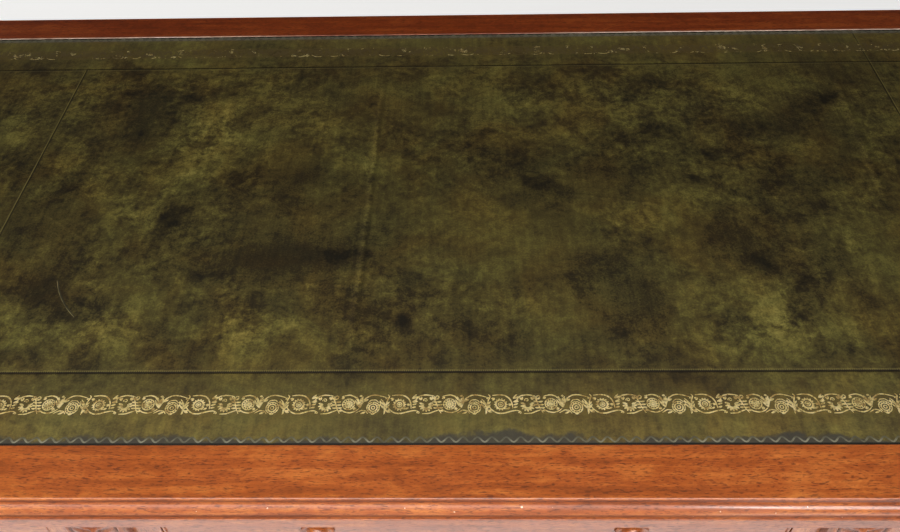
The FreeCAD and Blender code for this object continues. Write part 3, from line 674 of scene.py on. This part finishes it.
def drawnStroke(places, half, count):
    # a smooth line through a few places, thinning towards its ends
    samples, reach = 91, 8  # places on the line before it is thinned out, and half the smoothing window
    places = np.asarray(places)
    share = np.linspace(0, 1, samples)
    line = np.stack([np.interp(share, np.linspace(0, 1, len(places)), places[:, i]) for i in (0, 1)], 1)
    window = np.hanning(2 * reach + 3)[1:-1]
    padded = np.pad(line, ((reach, reach), (0, 0)), "reflect", reflect_type="odd")
    line = np.stack([np.convolve(padded[:, i], window / window.sum(), "valid") for i in (0, 1)], 1)
    line = line[np.linspace(0, samples - 1, count).astype(int)]
    return line, half * (0.45 + 0.6 * np.sin(np.pi * np.linspace(0, 1, count)) ** 0.6)


def ringStroke(x, y, radius, half, count):
    turn = np.linspace(0, 2 * np.pi, count)
    return np.stack([x + radius * np.cos(turn), y + radius * np.sin(turn)], 1), np.full(count, half)


def leafStroke(x, y, heading, length, bend, half, count):
    # a path whose heading turns evenly by bend degrees, swollen in its middle like a leaf
    share = np.linspace(0, 1, count)
    turn = np.radians(heading + bend * share)
    step = length / (count - 1)
    path = np.stack([np.cos(turn), np.sin(turn)], 1) * step
    path = np.cumsum(path, axis=0) - path[0] + [x, y]
    return path, half * (0.25 + np.sin(np.pi * share) ** 0.7)


def spiralStroke(x, y, radius, start, turns, half, count):
    # a path that winds in to a fifth of its radius, thinning as it goes
    share = np.linspace(0, 1, count)
    turn = np.radians(start) + 2 * np.pi * turns * share
    reach = radius * (1 - 0.8 * share)
    path = np.stack([x + reach * np.cos(turn), y + reach * np.sin(turn)], 1)
    return path, half * (1 - 0.4 * share)


def placeAt(x, y, reach, heading):  # heading in degrees
    turn = math.radians(heading)
    return x + reach * math.cos(turn), y + reach * math.sin(turn)


def rays(x, y, inner, headings, length, bend, half, count):  # leaves that point away from a middle
    return [
        leafStroke(*placeAt(x, y, inner, heading), heading, length, bend, half, count) for heading in headings
    ]


def petals(x, y, inner, outer, petalCount, half, bend, count):
    headings = [360 * i / petalCount for i in range(petalCount)]
    return rays(x, y, inner, headings, outer - inner, bend, half, count)


def stacked(strokes):  # paths and half widths of all strokes as two arrays
    paths, halves = zip(*strokes)
    return np.stack(paths), np.stack(halves)


def rollMotif(s):
    # scrolls, curls, rings, petalled flowers, an open fan and sprays of leaves, one stroke each
    count = s["points"]
    strokes = [drawnStroke(places, half, count) for half, *places in s["scrolls"]]
    strokes += [spiralStroke(*curl, *s["curlWinding"], count) for curl in s["curls"]]
    strokes += [ringStroke(*ring, count) for ring in s["rings"]]
    for flower in s["flowers"]:
        strokes += petals(*flower, s["petalBend"], count)
    strokes += rays(*s["fan"], count)
    for x, y, headings, length in s["sprays"]:
        for heading in headings:
            bend = (s["leafUpright"] - heading) * s["leafTurn"]
            strokes.append(leafStroke(x, y, heading, length, bend, s["leafHalf"], count))
    paths, halves = stacked(strokes)
    paths[..., 0] += s["start"]
    paths[..., 1] *= s["tall"]
    over = paths[..., 0].mean(axis=1) > s["drawn"] / mm  # what passes the period's end starts it
    paths[over, :, 0] -= s["drawn"] / mm
    return paths, halves * s["weight"]


def cornerMotif(s):
    # a petalled rosette in a ring fills each corner square, with sprigs towards its four corners
    count, middle = s["points"], s["width"] / mm / 2
    strokes = petals(middle, middle, *s["cornerPetals"], s["petalBend"], count)
    strokes += [ringStroke(middle, middle, *ring, count) for ring in s["cornerRings"]]
    reach, length, half, ways = s["cornerSprigs"]
    for heading in (45, 135, 225, 315):
        foot = placeAt(middle, middle, reach, heading)
        strokes += [leafStroke(*foot, heading + way, length, -way, half, count) for way in ways]
    return stacked(strokes)


def ribbons(paths, halves, lift, crown):
    # three lanes along each path, the middle one raised; height follows the hide
    ahead = np.gradient(paths, axis=1)
    ahead /= np.linalg.norm(ahead, axis=2, keepdims=True) + 1e-9  # a still point has no heading
    aside = np.stack([-ahead[..., 1], ahead[..., 0]], -1) * halves[..., None]
    lanes = np.stack([paths - aside, paths, paths + aside], axis=2)
    z = leatherZ + hideHeight(paths[..., 0], paths[..., 1], leatherSet)
    z = np.stack([z + lift, z + lift + crown, z + lift], axis=2)
    points = np.concatenate([lanes, z[..., None]], -1)
    strokes, count = paths.shape[:2]
    faces = (gridFaces(count, 3)[None] + (np.arange(strokes) * count * 3)[:, None, None]).reshape(-1, 4)
    return points, faces[:, ::-1]


def alongSide(side, paths, inset, length):
    # carries (along, inward) of a border strip to its side of the hide
    half = leatherHalf - inset
    a, b = paths[..., 0] - length / 2, paths[..., 1]
    x, y = {
        "front": (a, -half[1] + b), "back": (-a, half[1] - b),
        "right": (half[0] - b, a), "left": (-half[0] + b, -a),
    }[side]
    return np.stack([x, y], -1)


def makeGoldBorder(s, material):
    paths, halves = rollMotif(s)
    cornerPaths, cornerHalves = cornerMotif(s)
    for side, half in hideSides:
        length = 2 * (half - s["inset"])
        run = length - 2 * s["width"]  # between the corner squares
        count = int(round(run / s["period"]))
        stretch = run / (count * s["drawn"])
        starts = s["width"] + np.arange(count) * s["drawn"] * stretch
        repeats = np.repeat(paths[None] * mm * [stretch, 1], count, axis=0)
        repeats[..., 0] += starts[:, None, None]
        strokes = np.concatenate([repeats.reshape(-1, *paths.shape[1:]), cornerPaths * mm])
        widths = np.concatenate([np.tile(halves, (count, 1)), cornerHalves]) * mm
        points, faces = ribbons(alongSide(side, strokes, s["inset"], length), widths, s["lift"], s["rise"])
        meshPiece(f"goldTooling_{side}", points, faces, "carcase", material)


# Blind wavy line pressed along the hide's edge, painted paler than the hide as a highlight
waveSet = {
    "inset": 6.4 * mm, "reach": 2.9 * mm, "period": 14.7 * mm, "half": 0.95 * mm, "step": 1.0 * mm,
    "lift": 0.05 * mm, "crown": 0.12 * mm,
    "tones": ((64, 60, 46), (118, 114, 96)), "highlightFade": (4.6 * mm, 9.6 * mm),
}


def makeWaveLine(s, material):
    # a sine about the inset line
    for side, half in hideSides:
        length = 2 * (half - s["inset"])
        along = np.linspace(0, length, int(length / s["step"]))
        away = s["reach"] * np.sin(2 * np.pi * along / s["period"])
        path = np.stack([along, away], -1)[None]
        halves = np.full(path.shape[:2], s["half"])
        points, faces = ribbons(alongSide(side, path, s["inset"], length), halves, s["lift"], s["crown"])
        meshPiece(f"blindWave_{side}", points, faces, "carcase", material)


# A hooked scratch in the hide: a pale torn edge beside its shadow
scratchSet = {
    "places": ((-503, -156), (-499, -166), (-493, -178), (-486, -189), (-476, -202), (-464, -214)),
    "points": 40, "pale": 0.5 * mm, "dark": 0.8 * mm, "apart": (0.9 * mm, 0.5 * mm),
    "lift": 0.05 * mm, "crown": 0.10 * mm,
    "paleTones": ((62, 55, 32), (112, 102, 70)), "darkTones": ((22, 19, 12), (40, 34, 20)),
}


def makeScratch(s, pale, dark):
    line, half = drawnStroke(s["places"], 1.0, s["points"])
    for name, width, shift, material in (
        ("scratchPale", s["pale"], (0, 0), pale), ("scratchDark", s["dark"], s["apart"], dark)
    ):
        points, faces = ribbons((line * mm + shift)[None], (half * width)[None], s["lift"], s["crown"])
        meshPiece(name, points, faces, "carcase", material)


# Carved console on each frieze stile: a scrolled profile under a moulded cap, a leaf cut in its face
consoleSet = {
    "half": 33 * mm, "capHalf": 36 * mm, "capHeight": 11 * mm,
    "toe": 0.86,  # width at the toe as a share of the width under the cap
    "across": 64, "up": 84, "sunk": 0.4 * mm,
    "capRows": (1, 1.2, 1.5, 1.55, 2, 2),  # 1 is the foot of the cap, 2 its top
    # projection in shares of the full reach: at the foot, then how much, from where and to where, or about
    # which place and how broad, in shares of the height
    "foot": 0.36, "belly": (0.50, 0.22, 0.80), "roll": (0.16, 0.06, 0.055), "dip": (0.26, 0.95, 1.0),
    "capFoot": 0.78, "capRound": (0.16, 0.5), "capFillet": (0.06, 0.52),
    "sideRound": 0.3, "sideSharp": 14,
    # leaf: lobes across and up, its half width, and where it begins and ends
    "lobe": 1.5 * mm, "lobes": (1.7, 6), "leafHalf": 0.68, "leafFrom": (0.03, 0.16), "leafTo": (1.0, 0.9),
    # cuts and beads: place and breadth in shares of the half width
    "vein": 1.3 * mm, "veinAt": (0, 0.06), "besideVein": (0.15, 0.035), "besideShare": 0.8,
    "groove": 2.6 * mm, "grooveAt": (0.72, 0.04),
    "bead": 0.9 * mm, "beadAt": (0.84, 0.06), "quirkAt": (0.945, 0.02),
    "sharp": 42,  # degrees
    # the console's tone is darker than the other wood, as painted shade
    "cutDark": 1.4, "cutLift": 0.25, "tone": (0.74, 0.68, 0.64), "polish": 0.35,
}


def stileSpans():  # the two right-hand stiles, from the drawer fronts that stand between them
    kneeDrawer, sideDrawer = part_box("frieze_centre_drawer_front"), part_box("frieze_right_drawer_front")
    return (kneeDrawer[1].x, sideDrawer[0].x), (sideDrawer[1].x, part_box("frieze_stiles")[1].x)


def consoleProfile(body, cap, onCap, s):
    # projection: a rise to the belly, a rolled toe and a dip under the cap; the cap is a quarter round
    (belly, *bellyAt), (roll, *rollAt), (dip, *dipAt) = s["belly"], s["roll"], s["dip"]
    profile = s["foot"] + belly * smoothStep(body, *bellyAt) + roll * bump(body, *rollAt)
    profile = profile - dip * smoothStep(body, *dipAt)
    (rounding, roundTo), (fillet, filletFrom) = s["capRound"], s["capFillet"]
    moulded = s["capFoot"] + rounding * np.sin(np.pi / 2 * np.clip(cap / roundTo, 0, 1))
    return np.where(onCap, moulded + fillet * (cap > filletFrom), profile)


def consoleRelief(across, body, onCap, s):
    # lobes slanting up from a vein, with a groove and a bead down each side
    side = np.abs(across)
    lobesAcross, lobesUp = s["lobes"]
    leaf = np.clip(1 - (side / s["leafHalf"]) ** 2, 0, 1)
    lobes = np.cos(2 * np.pi * (side * lobesAcross - body * lobesUp)) * leaf
    lobes = lobes * smoothStep(body, *s["leafFrom"]) * smoothStep(body, *s["leafTo"])
    relief = s["lobe"] * lobes + s["vein"] * bump(across, *s["veinAt"])
    relief = relief - s["besideShare"] * s["vein"] * bump(side, *s["besideVein"])
    relief = relief - s["groove"] * bump(side, *s["grooveAt"])
    relief = relief + s["bead"] * (bump(side, *s["beadAt"]) - bump(side, *s["quirkAt"]))
    return np.where(onCap, 0, relief)


def makeConsoles(s, material):
    # front = profile of the height x rounded sides + relief of the leaf; columns close behind, in the stile
    low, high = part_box("frieze_corbels")
    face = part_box("frieze_stiles")[0].y
    share = np.concatenate([[0], np.linspace(0, 1, s["up"]), s["capRows"]])[:, None]
    across = np.linspace(-1, 1, s["across"])[None, :]
    body, cap = np.clip(share, 0, 1), np.clip(share - 1, 0, 1)
    onCap = (np.arange(len(share)) > s["up"])[:, None]
    relief = consoleRelief(across, body, onCap, s)
    rounded = 1 - s["sideRound"] * np.abs(across) ** s["sideSharp"]
    front = consoleProfile(body, cap, onCap, s) * rounded * (face - low.y) + relief
    front = front - np.where(onCap, 0, s["lobe"])
    front[[0, -1]] = -s["sunk"]
    front = np.pad(front, ((0, 0), (1, 1)), constant_values=-s["sunk"])
    width = np.where(onCap, s["capHalf"], s["half"] * (s["toe"] + (1 - s["toe"]) * body))
    height = high.z - low.z - s["capHeight"]
    up = low.z + np.where(onCap, height + cap * s["capHeight"], body * height)
    x = np.pad(across, ((0, 0), (1, 1)), "edge") * width
    one = np.stack([x, face - front, np.broadcast_to(up, x.shape)], axis=-1)
    middles = [(a + b) / 2 * way for a, b in stileSpans() for way in (-1, 1)]
    points = np.concatenate([one.reshape(-1, 3) + [middle, 0, 0] for middle in middles])
    faces = gridFaces(*one.shape[:2], closed=True)[:, ::-1]
    faces = np.concatenate([faces + i * one[..., 0].size for i in range(len(middles))])
    piece = meshPiece("carvedConsoles", points, faces, "carcase", material)
    piece.data.set_sharp_from_angle(angle=math.radians(s["sharp"]))
    # painted shade, darkest in the cuts of the leaf
    cut = np.clip(-relief / s["groove"] * s["cutDark"] + s["cutLift"], 0, 1)
    keepOnPoints(piece, "cut", np.tile(np.pad(cut, ((0, 0), (1, 1)), "edge").ravel(), len(middles)))
    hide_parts("frieze_corbels")


makeLeatherPanels(leatherSet, makeLeather("mottledHide", leatherSet))
makeScratch(
    scratchSet, makeBlindLine("scratchEdge", *scratchSet["paleTones"]),
    makeBlindLine("scratchShadow", *scratchSet["darkTones"]),
)
makeGoldBorder(goldRoll, makeGold("goldLeaf", goldSet))
makeWaveLine(waveSet, makeBlindLine("blindLine", *waveSet["tones"], waveSet["highlightFade"]))
print("leather and tooling made")
carvedWood = makeMahogany(
    "mahoganyCarved", "z", mahogany, consoleSet["tone"], consoleSet["polish"], carved=True
)
makeConsoles(consoleSet, carvedWood)
print("consoles carved")


# Finishes of the carried-over pieces
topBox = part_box("top_build_up_strips")
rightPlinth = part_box("right_pedestal_plinth")
plinthMiddle = (rightPlinth[0].x + rightPlinth[1].x) / 2
shadedQuirks = ((5.7 * mm, 1.8 * mm, 0.45), (19.2 * mm, 14.6 * mm, 0.45))  # depths under the top, how dark the painted shade is
quirks = [(deskTop - low, deskTop - high, dark) for low, high, dark in shadedQuirks]
even, backBoardShade = (1, 1, 1), (0.87, 0.62, 0.56)  # the back board is painted darker and redder, as painted shade
deeper, plinthTone = (0.84, 0.82, 0.80), (0.78, 0.76, 0.74)  # upright faces are a little darker than the top, and the plinth darker still
borderFront = makeMahogany("mahoganyBorderFront", "x", mahogany, even, 0.3, None, quirks)
# the back board's inner arris carries a painted highlight
borderBack = makeMahogany(
    "mahoganyBorderBack", "x", mahogany, backBoardShade, 0.3, None, quirks, highlightEdge=leatherHalf[1]
)
borderY = makeMahogany("mahoganyBorderDeep", "y", mahogany, even, 0.3, None, quirks)
woodX = makeMahogany("mahoganyLong", "x", mahogany, deeper, 0.7)
woodY = makeMahogany("mahoganyDeep", "y", mahogany, deeper)
woodZ = makeMahogany("mahoganyUpright", "z", mahogany, deeper, 0.6)
woodBoards = makeMahogany("mahoganyBoards", "z", mahogany, deeper, 0.25)
woodTop = makeMahogany("mahoganyStrips", "frame", mahogany, deeper, 0.5, (0.0, topBox[1].x, topBox[1].y))
woodPlinth = makeMahogany(
    "mahoganyPlinth", "frame", mahogany, plinthTone, 0.4,
    (plinthMiddle, rightPlinth[1].x - plinthMiddle, rightPlinth[1].y),
)
oak = makePlainWood("oakLining", "y", plainWood["oak"], plainGrain)
pine = makePlainWood("pineBoards", "y", plainWood["pine"], plainGrain)
brass = makeBrass("agedBrass", brassSet)
nodeFinish = (
    ("top_border_left", borderY), ("top_border_right", borderY),
    ("top_border_front", borderFront), ("top_border_back", borderBack),
    ("top_build_up", woodTop), ("top_core", pine), ("frieze_ends", woodY), ("guides", pine),
    ("plinth", woodPlinth), ("_lock", brass), ("_box", oak), ("_knobs", woodY),
    ("stiles", woodZ), ("pilasters", woodZ), ("_side", woodBoards), ("pedestal_back", woodBoards),
)
for name, piece in nodes.items():
    finish = next((material for part, material in nodeFinish if part in name), woodX)
    piece.data.materials.clear()
    piece.data.materials.append(finish)
print("finishes given to the frame")


# Pale floor and soft studio light
studio = {
    "floor": 30.0, "floorColour": paint(236, 235, 233), "floorRough": 0.7, "floorGlow": 0.73,
    "lights": (
        # name, place, aim, width, depth, watts, spread in degrees
        ("keyBox", (-0.42, -1.15, 2.15), (-0.35, -0.62, 0.79), 2.3, 0.6, 18.7, 140),
        ("edgeBox", (-0.25, -1.6, 2.0), (-0.25, -0.8, 0.79), 2.3, 0.6, 8.5, 70),
        ("frontBox", (0.0, -3.4, 1.0), (0.0, -0.45, 0.45), 2.6, 1.2, 5.5, 120),
        ("glintBox", (1.06, -1.6, 2.0), (0.4, -0.46, 0.78), 0.6, 1.0, 13, 180),
        ("leftBox", (-3.0, 2.7, 1.9), (-0.9, 3.1, 0.0), 1.2, 1.2, 8.5, 110),
        ("rightBox", (3.0, 2.7, 1.9), (0.9, 3.1, 0.0), 1.2, 1.2, 4, 110),
    ),
    "backdrop": 0.86, "world": 0.02,
}


def makeStudio(s):
    half = s["floor"] / 2
    corners = [(-half, -half, 0), (half, -half, 0), (half, half, 0), (-half, half, 0)]
    mesh = bpy.data.meshes.new("paleFloor")
    mesh.from_pydata(corners, [], [(0, 1, 2, 3)])
    floor = bpy.data.objects.new("paleFloor", mesh)
    bpy.context.scene.collection.objects.link(floor)
    colour = (*s["floorColour"], 1)
    mesh.materials.append(newFinish("paleFloor", {
        "Base Color": colour, "Roughness": s["floorRough"],
        "Emission Color": colour, "Emission Strength": s["floorGlow"],
    })[0])
    for name, place, aim, width, depth, watts, opening in s["lights"]:
        data = bpy.data.lights.new(name, "AREA")
        data.shape = "RECTANGLE"
        data.size, data.size_y, data.energy = width, depth, watts
        data.spread = math.radians(opening)
        light = bpy.data.objects.new(name, data)
        light.location = place
        light.rotation_mode = "QUATERNION"
        light.rotation_quaternion = (Vector(aim) - Vector(place)).to_track_quat("-Z", "Y")
        bpy.context.scene.collection.objects.link(light)
    world = bpy.data.worlds.new("studio")
    world.use_nodes = True
    sky = world.node_tree.nodes["Background"]
    sky.inputs["Color"].default_value = (1, 1, 1, 1)
    seen = Wire(world.node_tree, world.node_tree.nodes.new("ShaderNodeLightPath").outputs["Is Camera Ray"])
    strength = seen * (s["backdrop"] - s["world"]) + s["world"]  # pale behind the piece, dim as a light
    world.node_tree.links.new(strength.socket, sky.inputs["Strength"])
    bpy.context.scene.world = world
    bpy.context.scene.view_settings.view_transform = "Standard"


makeStudio(studio)
print("studio lit")
